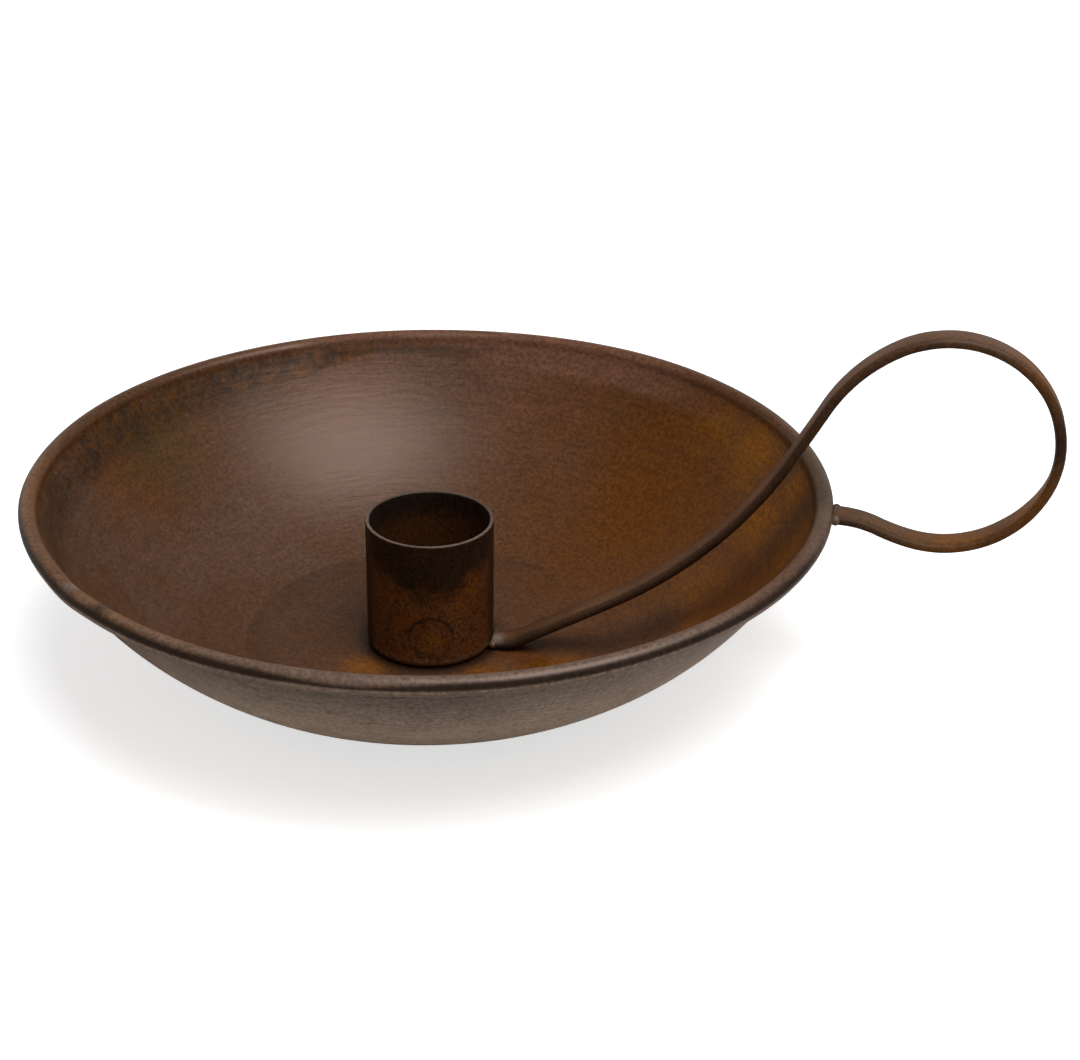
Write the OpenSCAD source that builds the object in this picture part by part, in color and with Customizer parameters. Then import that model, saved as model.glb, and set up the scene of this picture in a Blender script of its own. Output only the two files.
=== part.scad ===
// Chamberstick: a wide round pan with a candle cup welded to its middle, and a bent strip
// handle that runs from the cup's foot, over the rim, round a finger loop and back to the rim.
// The origin is the middle of the pan's underside, +Z is up, and the handle points along +X.

/* [Pan] */
// Diameter over the rolled rim
pan_d = 152.4; // [130:0.2:180]
// Height of the rim's top above the table
pan_h = 36.3; // [30:0.1:44]
// Diameter of the flat floor
floor_d = 63.6; // [50:0.2:74]
// Thickness of the pan's sheet
pan_sheet = 0.7; // [0.5:0.05:1]
// Bend radius where the floor turns up into the wall, on the underside
corner_r = 12.5; // [6:0.5:16]
// Angle through which the sheet turns there
corner_turn = 20; // [16:0.5:26]

/* [Rim] */
// Diameter of the wire inside the rim
wire_d = 2.0; // [1.4:0.1:3]
// Gap between the wire and the sheet wrapped round it
wire_clear = 0.03; // [0.01:0.01:0.1]
// Gap between the wrapped edge and the wall
seam_gap = 0.15; // [0.1:0.05:0.4]
// Height by which the rolled rim stands proud of the wall's inner face
rim_neck = 0.3; // [0.1:0.05:0.6]

/* [Candle cup] */
// Diameter of the candle that the cup is made for
candle_d = 22.2; // [18:0.1:26]
// Play between the candle and the cup, on the diameter
candle_clear = 1.0; // [0.4:0.1:2]
// Height of the cup
cup_h = 26.4; // [16:0.2:36]
// Thickness of the cup's wall and bottom
cup_sheet = 0.75; // [0.55:0.05:1.2]
// Radius of the cup's bottom edge, outside
cup_corner_r = 1.6; // [1.3:0.1:3]
// Radius that rounds the two edges of the cup's lip
lip_r = 0.25; // [0.1:0.05:0.25]

/* [Spot welds] */
// Number of spot welds under the cup
spot_count = 3; // [2:1:4]
// Diameter of a spot weld
spot_d = 3.6; // [2.5:0.1:4.5]
// Distance of the spot welds from the middle
spot_ring_r = 6.0; // [4.5:0.1:7]
// Depth to which a spot weld reaches into each sheet
spot_depth = 0.4; // [0.2:0.05:0.45]

/* [Handle strip] */
// Width of the strip
strip_w = 5.8; // [4:0.1:8]
// Thickness of the strip
strip_t = 2.0; // [1.9:0.1:2.6]
// Radius of the strip's long edges
strip_edge_r = 0.85; // [0.4:0.05:0.9]

/* [Handle sweep] */
// Flat length of the strip on the floor beside the cup
foot_len = 1.2; // [0.6:0.1:4]
// Bend radius where the strip leaves the floor
foot_bend_r = 9; // [5:0.5:14]
// Slope of the strip above that bend
foot_slope = 30; // [26:0.5:33]
// Bend radius of the long sweep up to the loop
sweep_r = 87; // [40:1:90]
// Slope of the strip where it runs into the loop
rise_slope = 61.5; // [56:0.5:66]

/* [Handle loop] */
// Radius of the finger loop, to the middle of the strip
loop_r = 20.2; // [17:0.1:23]
// Turn of the finger loop
loop_turn = 223; // [216:1:228]
// Bend radius of the lead into the loop
lead_r = 30; // [22:0.5:40]
// Turn of the lead into the loop
lead_turn = 32; // [26:1:38]
// Bend radius of the run out of the loop
tail_r = 36; // [25:1:45]
// Turn of the run out of the loop
tail_turn = 10; // [7:1:14]
// Radius of the last bend, which turns the strip back to the rim
return_r = 19; // [14:0.5:24]
// Straight length of the strip's end at the rim
end_len = 0.6; // [0.4:0.1:4]

/* [Handle welds] */
// Gap that the weld fills between each end of the strip and its seat
weld_gap = 0.2; // [0.1:0.05:0.4]
// Height of the foot weld above the strip
foot_weld_h = 1.0; // [0.6:0.1:1.6]
// Radius of the rim weld
rim_weld_r = 1.6; // [1.5:0.05:2.2]
// Width of each weld beyond the strip's edges
weld_side = 0.5; // [0.3:0.1:1]

/* [Hidden] */
$fn = 96;

// The rolled rim
wire_hole_r = wire_d / 2 + wire_clear;
bead_r = wire_hole_r + pan_sheet;
rim_r = pan_d / 2 - bead_r;
rim_z = pan_h - bead_r;

// The wall is one arc, from the end of the floor's bend to the inner side of the rolled rim.
// An arc at this distance outside the wall's outer face passes through the rim's middle.
wall_to_wire = wire_hole_r - rim_neck;
floor_r = floor_d / 2;
bend_end = [floor_r + corner_r * sin(corner_turn), corner_r * (1 - cos(corner_turn))];
wall_chord = [rim_r, rim_z] - bend_end - wall_to_wire * [sin(corner_turn), -cos(corner_turn)];
chord_slope = atan2(wall_chord[1], wall_chord[0]);
wall_r = norm(wall_chord) / (2 * sin(chord_slope - corner_turn)) - wall_to_wire;
wall_end_slope = 2 * chord_slope - corner_turn;
wall_centre = bend_end + wall_r * [-sin(corner_turn), cos(corner_turn)];

// The cup stands on the floor
cup_r = (candle_d + candle_clear) / 2 + cup_sheet;
cup_base_z = pan_sheet;
cup_top_z = cup_base_z + cup_h;
cup_inner_corner_r = cup_corner_r - cup_sheet;

// Runs of the handle are [bend radius, turn], with a turn to the left positive,
// or [0, length] for a straight. A place on the handle is [x, z, slope].
return_turn = lead_turn + loop_turn + tail_turn - rise_slope - 180;
loop_runs = [
    [lead_r, -lead_turn],
    [loop_r, -loop_turn],
    [tail_r, -tail_turn],
    [return_r, return_turn],
    [0, end_len]
];
foot_runs = [[0, foot_len], [foot_bend_r, foot_slope]];
foot_start = [cup_r + weld_gap, pan_sheet + strip_t / 2, 0];
foot_end = last_place(foot_start, foot_runs);
loop_reach = last_place([0, 0, rise_slope], loop_runs);
loop_start = [pan_d / 2 + weld_gap - loop_reach[0], rim_z - loop_reach[1], rise_slope];

// The sweep is an arc between the slope above the foot and the slope into the loop. It
// leaves a short straight on both sides, so its ends take no more than this share of the legs.
sweep_span = [loop_start[0] - foot_end[0], loop_start[1] - foot_end[1]];
foot_dir = [cos(foot_slope), sin(foot_slope)];
rise_dir = [cos(rise_slope), sin(rise_slope)];
low_leg = cross(sweep_span, rise_dir) / cross(foot_dir, rise_dir);
high_leg = cross(foot_dir, sweep_span) / cross(foot_dir, rise_dir);
sweep_turn = rise_slope - foot_slope;
sweep_share = 0.95;
sweep_fit_r = min(sweep_r, sweep_share * min(low_leg, high_leg) / tan(sweep_turn / 2));
sweep_leg = sweep_fit_r * tan(sweep_turn / 2);
handle_runs = concat(
    foot_runs,
    [[0, low_leg - sweep_leg], [sweep_fit_r, sweep_turn], [0, high_leg - sweep_leg]],
    loop_runs
);

// The handle is swept in rings: the most that it turns between two rings, and the
// flats that round each long edge of the strip
bend_step = 6;
edge_flats = 4;

// Outline of the strip's section as [across its thickness, across its width], anticlockwise
strip_outline = [
    for (corner = [0 : 3], step = [0 : edge_flats])
        let (
            turn = corner * 90 + step * 90 / edge_flats,
            side_t = corner == 0 || corner == 3 ? 1 : -1,
            side_w = corner < 2 ? 1 : -1
        )
        [
            side_t * (strip_t / 2 - strip_edge_r) + strip_edge_r * cos(turn),
            side_w * (strip_w / 2 - strip_edge_r) + strip_edge_r * sin(turn)
        ]
];

// Margin by which a cutting shape passes the face that it cuts
over = 1;

function run_end(place, run) =
    run[0] == 0
    ? place + [run[1] * cos(place[2]), run[1] * sin(place[2]), 0]
    : let (side = sign(run[1]) * run[0], slope = place[2] + run[1])
        [
            place[0] + side * (sin(slope) - sin(place[2])),
            place[1] - side * (cos(slope) - cos(place[2])),
            slope
        ];

function last_place(place, runs, i = 0) =
    i == len(runs) ? place : last_place(run_end(place, runs[i]), runs, i + 1);

function run_starts(place, runs, i = 0) =
    i == len(runs) ? [] : concat([place], run_starts(run_end(place, runs[i]), runs, i + 1));

// Places along a run after its start: one at a straight's end, and one every few degrees of a bend
function run_places(place, run) =
    let (steps = run[0] == 0 ? 1 : ceil(abs(run[1]) / bend_step))
    [for (i = [1 : steps]) run_end(place, [run[0], run[1] * i / steps])];

// The place that lies at a distance from a centre, where a ring about it has the given slope
function ring_place(centre, distance, slope) = centre + distance * [sin(slope), -cos(slope)];

// The part of a ring that lies in a wedge, which is a list of places
module ring_piece(centre, r_in, r_out, wedge) {
    intersection() {
        translate(centre)
            difference() {
                circle(r_out);
                circle(r_in);
            }
        polygon(wedge);
    }
}

// Half section of the pan: floor, bend, wall and the sheet rolled round the wire.
// The wedges of the bend and the wall share the line that cuts the one from the other.
module pan_section() {
    corner_centre = [floor_r, corner_r];
    corner_reach = corner_r + over;
    corner_cut = ring_place(corner_centre, corner_reach, corner_turn);
    wall_turn = wall_end_slope - corner_turn;
    wall_reach = wall_r / cos(wall_turn / 2) + over;
    bend_wedge = [
        corner_centre,
        ring_place(corner_centre, corner_reach, 0),
        ring_place(corner_centre, corner_reach, corner_turn / 2),
        corner_cut
    ];
    wall_wedge = [
        wall_centre,
        corner_centre,
        corner_cut,
        ring_place(wall_centre, wall_reach, corner_turn + wall_turn / 2),
        ring_place(wall_centre, wall_reach, wall_end_slope)
    ];
    difference() {
        union() {
            square([floor_r, pan_sheet]);
            ring_piece(corner_centre, corner_r - pan_sheet, corner_r, bend_wedge);
            ring_piece(wall_centre, wall_r - pan_sheet, wall_r, wall_wedge);
            translate([rim_r, rim_z])
                circle(bead_r);
        }
        translate([rim_r, rim_z])
            circle(wire_hole_r);
        seam_section();
    }
}

// The slit that is left between the rolled edge and the wall
module seam_section() {
    slit_turn = (bead_r + seam_gap) / wall_r * 180 / PI;
    slit_reach = wall_r + seam_gap + over;
    slit_wedge = [
        wall_centre,
        ring_place(wall_centre, slit_reach, wall_end_slope - slit_turn),
        ring_place(wall_centre, slit_reach, wall_end_slope)
    ];
    ring_piece(wall_centre, wall_r, wall_r + seam_gap, slit_wedge);
}

module spot_welds(z_low, z_high) {
    for (i = [0 : spot_count - 1])
        rotate([0, 0, 180 + i * 360 / spot_count])
            translate([spot_ring_r, 0, z_low])
                cylinder(d = spot_d, h = z_high - z_low);
}

module pan() {
    color([0.36, 0.26, 0.19])
        difference() {
            rotate_extrude()
                pan_section();
            spot_welds(pan_sheet - spot_depth, pan_sheet + over);
        }
}

module rim_wire() {
    color([0.45, 0.43, 0.41])
        rotate_extrude()
            translate([rim_r, rim_z])
                circle(wire_d / 2);
}

// A rectangle from the axis out, with its lower outer corner rounded
module cup_outline(r, z_low, z_high, corner) {
    translate([0, z_low + corner])
        square([r, z_high - z_low - corner]);
    translate([0, z_low])
        square([r - corner, corner + over]);
    translate([r - corner, z_low + corner])
        circle(corner);
}

// Half section of the cup: a drawn cup with a rounded lip
module cup_section() {
    difference() {
        cup_outline(cup_r, cup_base_z, cup_top_z - lip_r, cup_corner_r);
        cup_outline(cup_r - cup_sheet, cup_base_z + cup_sheet, cup_top_z + over, cup_inner_corner_r);
    }
    translate([cup_r - cup_sheet + lip_r, cup_top_z - 2 * lip_r])
        square([cup_sheet - 2 * lip_r, 2 * lip_r]);
    for (x = [cup_r - cup_sheet + lip_r, cup_r - lip_r])
        translate([x, cup_top_z - lip_r])
            circle(lip_r);
}

module candle_cup() {
    color([0.20, 0.13, 0.09])
        difference() {
            rotate_extrude()
                cup_section();
            spot_welds(cup_base_z - over, cup_base_z + spot_depth);
        }
}

module cup_spot_welds() {
    color([0.50, 0.48, 0.46])
        spot_welds(cup_base_z - spot_depth, cup_base_z + spot_depth);
}

// The strip's section: thickness along x, width along y, with rounded edges
module strip_section() {
    in_x = strip_t / 2 - strip_edge_r;
    in_y = strip_w / 2 - strip_edge_r;
    square([strip_t, 2 * in_y], center = true);
    square([2 * in_x, strip_w], center = true);
    for (x = [-in_x, in_x], y = [-in_y, in_y])
        translate([x, y])
            circle(strip_edge_r);
}

// One run of the strip, laid in the XY plane with its width along Z
module strip_run(place, run) {
    translate([place[0], place[1], 0])
        rotate([0, 0, place[2]])
            if (run[0] == 0)
                rotate([90, 0, 90])
                    linear_extrude(run[1])
                        strip_section();
            else
                translate([0, sign(run[1]) * run[0], 0])
                    rotate([0, 0, run[1] > 0 ? -90 : 90 + run[1]])
                        rotate_extrude(angle = abs(run[1]))
                            translate([run[0], 0])
                                strip_section();
}

// Stands a path that is laid in the XY plane up in the plane of the handle
module stand_up() {
    rotate([90, 0, 0])
        children();
}

// Sweeps the strip's outline along its places as one closed skin
module strip_sweep(places) {
    rings = len(places);
    sides = len(strip_outline);
    points = [
        for (place = places, corner = strip_outline)
            [
                place[0] - corner[0] * sin(place[2]),
                -corner[1],
                place[1] + corner[0] * cos(place[2])
            ]
    ];
    skin = [
        for (i = [0 : rings - 2], j = [0 : sides - 1])
            let (next = (j + 1) % sides)
            each [
                [i * sides + j, i * sides + next, (i + 1) * sides + j],
                [(i + 1) * sides + j, i * sides + next, (i + 1) * sides + next]
            ]
    ];
    near_end = [for (j = [sides - 1 : -1 : 0]) j];
    far_end = [for (j = [0 : sides - 1]) (rings - 1) * sides + j];
    polyhedron(points, concat([near_end, far_end], skin));
}

module handle() {
    starts = run_starts(foot_start, handle_runs);
    places = [
        foot_start,
        for (i = [0 : len(handle_runs) - 1])
            each run_places(starts[i], handle_runs[i])
    ];
    color([0.40, 0.32, 0.26])
        strip_sweep(places);
}

// Weld metal round the strip's end, on the floor and against the cup
module handle_foot_weld() {
    weld_r = strip_t + foot_weld_h;
    half_turn = asin((strip_w / 2 + weld_side) / cup_r);
    color([0.55, 0.50, 0.45])
        difference() {
            rotate([0, 0, -half_turn])
                rotate_extrude(angle = 2 * half_turn)
                    intersection() {
                        translate([cup_r, pan_sheet])
                            circle(weld_r);
                        translate([cup_r, pan_sheet])
                            square(weld_r + over);
                    }
            stand_up() {
                strip_run(foot_start, foot_runs[0]);
                strip_run(run_end(foot_start, foot_runs[0]), foot_runs[1]);
            }
        }
}

// Weld metal between the rolled rim and the strip's other end
module handle_rim_weld() {
    half_turn = asin((strip_w / 2 + weld_side) / rim_r);
    color([0.45, 0.38, 0.32])
        difference() {
            rotate([0, 0, -half_turn])
                rotate_extrude(angle = 2 * half_turn)
                    difference() {
                        translate([pan_d / 2, rim_z])
                            circle(rim_weld_r);
                        translate([rim_r, rim_z])
                            circle(bead_r);
                    }
            stand_up()
                strip_run([pan_d / 2 + weld_gap, rim_z, 0], [0, rim_weld_r + over]);
        }
}

pan();
rim_wire();
candle_cup();
cup_spot_welds();
handle();
handle_foot_weld();
handle_rim_weld();
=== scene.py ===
"""Dresses the chamberstick: spun pan, candle cup, bent handle and welds, all in browned, rusted steel.

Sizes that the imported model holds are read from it. The others are settings in millimetres.
"""

import math
import random

import bpy
from bpy.props import FloatProperty, FloatVectorProperty, IntProperty, PointerProperty
from mathutils import Matrix, Vector


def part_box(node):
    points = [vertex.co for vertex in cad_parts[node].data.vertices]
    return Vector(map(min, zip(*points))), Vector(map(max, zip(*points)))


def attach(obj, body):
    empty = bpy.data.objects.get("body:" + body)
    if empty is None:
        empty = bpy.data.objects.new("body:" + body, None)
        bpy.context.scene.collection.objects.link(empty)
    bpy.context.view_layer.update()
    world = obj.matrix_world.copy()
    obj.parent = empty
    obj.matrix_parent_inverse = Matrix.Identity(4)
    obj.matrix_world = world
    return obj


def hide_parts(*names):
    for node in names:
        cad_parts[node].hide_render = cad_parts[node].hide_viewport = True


bl_info = {
    "name": "Chamberstick",
    "version": (1, 0, 0),
    "blender": (4, 5, 0),
    "location": "3D View > Sidebar > Chamberstick",
    "description": "Models and finishes a rusted steel chamberstick around its packed parts",
    "category": "Object",
}

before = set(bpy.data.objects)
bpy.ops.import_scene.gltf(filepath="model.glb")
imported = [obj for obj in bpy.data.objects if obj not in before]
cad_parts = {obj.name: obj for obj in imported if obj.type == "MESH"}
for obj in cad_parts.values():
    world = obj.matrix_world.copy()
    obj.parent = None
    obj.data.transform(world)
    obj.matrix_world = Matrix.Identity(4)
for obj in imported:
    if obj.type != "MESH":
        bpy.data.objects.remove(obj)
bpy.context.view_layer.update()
MM = 0.001
BODY = "root"


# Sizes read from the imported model, in millimetres


def node_box(node):
    """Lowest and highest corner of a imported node, in millimetres."""
    low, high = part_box(node)
    return low / MM, high / MM


def foot_radius(node):
    """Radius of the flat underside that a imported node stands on, in millimetres."""
    vertices = [v.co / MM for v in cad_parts[node].data.vertices]
    lowest = min(v.z for v in vertices)
    return max(math.hypot(v.x, v.y) for v in vertices if v.z < lowest + 0.001)


PAN_LOW, PAN_HIGH = node_box("pan")
WIRE_LOW, WIRE_HIGH = node_box("rim_wire")
CUP_LOW, CUP_HIGH = node_box("candle_cup")
STRIP_LOW, STRIP_HIGH = node_box("handle")
WIRE_R = (WIRE_HIGH.z - WIRE_LOW.z) / 2
RIM_Z = (WIRE_HIGH.z + WIRE_LOW.z) / 2
RIM_R = WIRE_HIGH.x - WIRE_R
BEAD_R = PAN_HIGH.z - RIM_Z
PAN_R = RIM_R + BEAD_R
SHEET = CUP_LOW.z - PAN_LOW.z
CUP_R = CUP_HIGH.x
STRIP_Y = STRIP_HIGH.y


def length(name, default, description):
    """A length setting in millimetres."""
    return FloatProperty(name=name, default=default, description=description, precision=3)


def share(name, default, description):
    """A setting from 0 to 1."""
    return FloatProperty(name=name, default=default, description=description, min=0, max=1)


def angle(name, degrees, description):
    """An angle setting."""
    return FloatProperty(
        name=name, default=math.radians(degrees), description=description, subtype="ANGLE"
    )


def paint(name, default, description):
    """A colour setting."""
    return FloatVectorProperty(
        name=name, default=default, description=description, subtype="COLOR", size=3, min=0, max=1
    )


class PanSettings(bpy.types.PropertyGroup):
    """Sizes of the pan."""

    floor_r: length("Floor radius", foot_radius("pan"), "Radius of the flat floor, mm")
    corner_r: length("Corner radius", 12.5, "Bend radius between floor and wall, outside, mm")
    corner_turn: angle("Corner turn", 20, "Angle through which the sheet turns there")
    neck: length("Rim neck", 0.3, "How far the rolled rim stands proud of the wall inside, mm")
    neck_r: length("Neck radius", 4, "Radius that eases the wall into the rolled rim, mm")
    seam_gap: length("Seam gap", 0.15, "Gap between the rolled edge and the wall, mm")
    groove: length("Spinning grooves", 0.007, "Depth of the lines that spinning left, mm")
    groove_step: length("Groove spacing", 0.5, "Distance between two spinning lines, mm")
    warp: length("Warp", 0.3, "How far the wall and rim stray from true, mm")
    rise: length("Rise", 0.5, "How much higher the rim stands on its right and left, mm")
    kink: length("Kink", 0.35, "Depth of the small dent in the rim at the front left, mm")
    around: IntProperty(name="Steps around", default=288, description="Faces around the pan")


class CupSettings(bpy.types.PropertyGroup):
    """Sizes of the candle cup."""

    sheet: length("Sheet", 0.75, "Thickness of the cup's wall, mm")
    corner_r: length("Corner radius", 1.6, "Radius of the cup's bottom edge, outside, mm")
    lip_r: length("Lip radius", 0.25, "Radius that rounds the lip, mm")
    warp: length("Warp", 0.12, "How far the cup strays from true, mm")
    around: IntProperty(name="Steps around", default=144, description="Faces around the cup")


class HandleSettings(bpy.types.PropertyGroup):
    """Sizes of the handle's strip and of its runs."""

    thickness: length("Thickness", 2.08, "Thickness of the strip, mm")
    squareness: FloatProperty(
        name="Squareness", default=3.2, description="2 makes the strip's section an ellipse", min=2
    )
    around: IntProperty(name="Steps around", default=32, description="Faces around the strip")
    foot_len: length("Foot", 1.2, "Flat length on the floor beside the cup, mm")
    foot_bend_r: length("Foot bend", 9, "Bend radius where the strip leaves the floor, mm")
    foot_slope: angle("Foot slope", 30, "Slope above that bend")
    sweep_r: length("Sweep", 87, "Bend radius of the long sweep, mm")
    rise_slope: angle("Rise slope", 61.5, "Slope where the strip runs into the loop")
    lead_r: length("Lead radius", 30, "Bend radius of the lead into the loop, mm")
    lead_turn: angle("Lead turn", 32, "Turn of the lead into the loop")
    loop_r: length("Loop radius", 20.2, "Radius of the finger loop, mm")
    loop_turn: angle("Loop turn", 223, "Turn of the finger loop")
    tail_r: length("Tail radius", 36, "Bend radius of the run out of the loop, mm")
    tail_turn: angle("Tail turn", 10, "Turn of the run out of the loop")
    return_r: length("Return radius", 19, "Radius of the last bend, back to the rim, mm")
    end_len: length("End", 0.6, "Straight length of the strip's end at the rim, mm")
    forge: length("Forge marks", 0.14, "How uneven the flattened rod is, mm")
    twist: length("Twist", 0.7, "How far the loop's far edge leans out at the lower right, mm")


class WeldSettings(bpy.types.PropertyGroup):
    """Sizes of the weld beads at the strip's ends."""

    foot_blob: length("Foot blob", 0.85, "Radius of the blobs between strip and cup, mm")
    rim_blob: length("Rim blob", 1.12, "Radius of the blobs between strip and rim, mm")
    blobs: IntProperty(name="Blobs", default=7, description="Blobs in each weld bead")
    grain: length("Grain", 0.12, "Size of the steps in which the blobs melt together, mm")


class FinishSettings(bpy.types.PropertyGroup):
    """Colours and sheen of the browned steel."""

    umber: paint("Umber", (0.078, 0.0325, 0.013), "Main brown of the pan")
    mauve: paint("Mauve", (0.085, 0.042, 0.024), "Greyer brown where the skin is thin")
    rust: paint("Rust", (0.100, 0.030, 0.0018), "Orange brown of the rusted parts")
    amber: paint("Amber", (0.185, 0.062, 0.0015), "Orange rust bloom")
    olive: paint("Olive", (0.050, 0.032, 0.010), "Greenish brown scale")
    # Also used as painted shade on the pan's floor inside its bend and round the cup, and as the
    # painted handle shadow
    crumb_and_shade: paint("Crumb", (0.030, 0.014, 0.006), "Dark brown crumbs under the rim")
    # Also used as painted shade: in the rim's creases and its dark belt, round the cup's foot, on the
    # cup's sides and bottom edge, and on the strip's edges and under its foot
    soot_and_shade: paint("Soot", (0.0108, 0.0052, 0.0023), "Nearly black scale")
    # Also used as painted highlights on the rim's top and the cup's lip, and as painted glints at the
    # rim's kink and the strip's foot
    wear_and_highlight: paint("Worn", (0.150, 0.105, 0.083), "Pale worn skin")
    # Its paleness partly stands in for the floor's reflection in the wall's sheen, a painted
    # reflection; it is also the painted floor reflection under the rim's bead
    outer: paint("Outer skin", (0.230, 0.168, 0.124), "Pale skin on the outside of the wall")
    ember: paint("Ember", (0.097, 0.0275, 0.0045), "Dark reddish rust of the cup")
    # Also used as a painted floor reflection along the cup's rounded bottom edge
    bronze: paint("Bronze", (0.108, 0.049, 0.021), "Pinkish brown of the handle")
    # Also used as painted light on the inner flank under the rim at the back
    flush: paint("Flush", (0.140, 0.062, 0.036), "Light reddish brown of the rim's back")
    sheen: share("Sheen", 0.07, "Specular level of the browned skin")
    sheen_tint: paint("Sheen tint", (1.0, 0.8, 0.7), "Colour of that sheen")


class StageSettings(bpy.types.PropertyGroup):
    """Camera, lamps and background."""

    camera_distance: length("Camera distance", 360.4, "Camera's distance from the axis, mm")
    camera_height: length("Camera height", 207.4, "Camera's height above the table, mm")
    camera_azimuth: angle("Camera azimuth", 11.5, "Turn of the camera round the axis")
    camera_pitch: angle("Camera pitch", 26.89, "Downward tilt of the camera")
    camera_yaw: angle("Camera yaw", 3.37, "Turn of the camera to the right of the axis")
    camera_roll: angle("Camera roll", 0.95, "Roll of the camera")
    lens: FloatProperty(name="Lens", default=70, description="Focal length, mm")
    floor: paint("Floor", (0.82, 0.82, 0.82), "Colour of the floor")
    glow_near: share("Glow near", 0.66, "How much paler the camera sees the floor near the part")
    glow_far: share("Glow far", 0.85, "How much paler the camera sees the floor far away")
    daylight: share("Daylight", 0.264, "Strength of the even light from all around")
    softbox: FloatProperty(name="Softbox", default=3.35, description="Power of the softbox, W")
    gleam: FloatProperty(name="Gleam", default=17.2, description="Power of the gleam lamp, W")


class ChamberstickSettings(bpy.types.PropertyGroup):
    """All settings of the chamberstick."""

    pan: PointerProperty(type=PanSettings)
    cup: PointerProperty(type=CupSettings)
    handle: PointerProperty(type=HandleSettings)
    weld: PointerProperty(type=WeldSettings)
    finish: PointerProperty(type=FinishSettings)
    stage: PointerProperty(type=StageSettings)


def settings():
    """The chamberstick's settings in the current scene."""
    return bpy.context.scene.chamberstick


# Modelling helpers


def add_object(name, add, **where):
    """Adds a primitive as the only selected object and names it."""
    if bpy.context.object and bpy.context.object.mode != "OBJECT":
        bpy.ops.object.mode_set(mode="OBJECT")
    bpy.ops.object.select_all(action="DESELECT")
    add(**where)
    made = bpy.context.object
    made.name = name
    made.data.name = name
    return made


def arc(centre, radius, start, end, steps):
    """Points on an arc, its start left out. Angles are in radians, anticlockwise from +r."""
    angles = [start + (end - start) * i / steps for i in range(1, steps + 1)]
    return [(centre[0] + radius * math.cos(a), centre[1] + radius * math.sin(a)) for a in angles]


def line(start, end, steps):
    """Points on a straight line, its start left out."""
    shares = [i / steps for i in range(1, steps + 1)]
    return [
        (start[0] + (end[0] - start[0]) * s, start[1] + (end[1] - start[1]) * s) for s in shares
    ]


def draw_chain(name, points):
    """Draws a chain of points, in millimetres, by extruding a vertex, and leaves it in edit mode."""
    made = add_object(name, bpy.ops.mesh.primitive_plane_add, size=MM)
    bpy.ops.object.mode_set(mode="EDIT")
    bpy.ops.mesh.merge(type="CENTER")
    at = Vector(points[0]) * MM
    bpy.ops.transform.translate(value=at)
    for point in points[1:]:
        to = Vector(point) * MM
        bpy.ops.mesh.extrude_vertices_move(TRANSFORM_OT_translate={"value": to - at})
        at = to
    bpy.ops.mesh.select_all(action="SELECT")
    return made


def lathe(name, outline, around):
    """Spins an outline of (radius, height) points all the way round and closes it."""
    made = draw_chain(name, [(r, 0, z) for r, z in outline])
    bpy.ops.mesh.spin(steps=around, angle=math.tau, center=(0, 0, 0), axis=(0, 0, 1))
    bpy.ops.mesh.select_all(action="SELECT")
    bpy.ops.mesh.remove_doubles(threshold=0.001 * MM)
    bpy.ops.mesh.normals_make_consistent(inside=False)
    bpy.ops.object.mode_set(mode="OBJECT")
    return made


def ease(low, high, value):
    """Goes smoothly from 0 to 1 as a value goes from low to high."""
    share = min(1, max(0, (value - low) / (high - low)))
    return share * share * (3 - 2 * share)


def bell(middle, half, value):
    """1 at the middle, falling smoothly to 0 at half a width on either side."""
    return ease(half, 0, abs(value - middle))


def weigh(obj, name, weight):
    """Gives every vertex a weight, which the function works out from its place in millimetres."""
    group = obj.vertex_groups.new(name=name)
    for v in obj.data.vertices:
        group.add([v.index], weight(v.co / MM), "REPLACE")


def push(obj, name, amount, direction, weight):
    """Moves the surface along an axis by an amount, in millimetres, times a weight."""
    weigh(obj, name, weight)
    modifier = obj.modifiers.new(name, "DISPLACE")
    modifier.direction = direction
    modifier.mid_level = 0
    modifier.strength = amount * MM
    modifier.vertex_group = name
    bpy.ops.object.modifier_apply(modifier=name)


def displace(obj, name, size, strength, direction, group=""):
    """Moves the surface by cloud noise of that size, in millimetres, and applies it."""
    texture = bpy.data.textures.new(name, "CLOUDS")
    texture.noise_scale = size * MM
    texture.noise_depth = 2
    texture.cloud_type = "COLOR"
    modifier = obj.modifiers.new(name, "DISPLACE")
    modifier.texture = texture
    modifier.texture_coords = "LOCAL"
    modifier.direction = direction
    modifier.mid_level = 0.5
    modifier.strength = strength * MM
    modifier.vertex_group = group
    bpy.ops.object.modifier_apply(modifier=name)


def smooth(obj, degrees):
    """Smooth shading that keeps edges sharper than the angle."""
    bpy.ops.object.select_all(action="DESELECT")
    obj.select_set(True)
    bpy.context.view_layer.objects.active = obj
    bpy.ops.object.shade_smooth_by_angle(angle=math.radians(degrees))


def dress(obj, material, slot, *nodes):
    """Gives a finished piece its material, parents it to the body and hides the imported nodes that it
    replaces.
    """
    obj.data.materials.clear()
    obj.data.materials.append(material)
    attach(obj, BODY)
    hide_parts(*nodes)


# Material helpers


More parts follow.
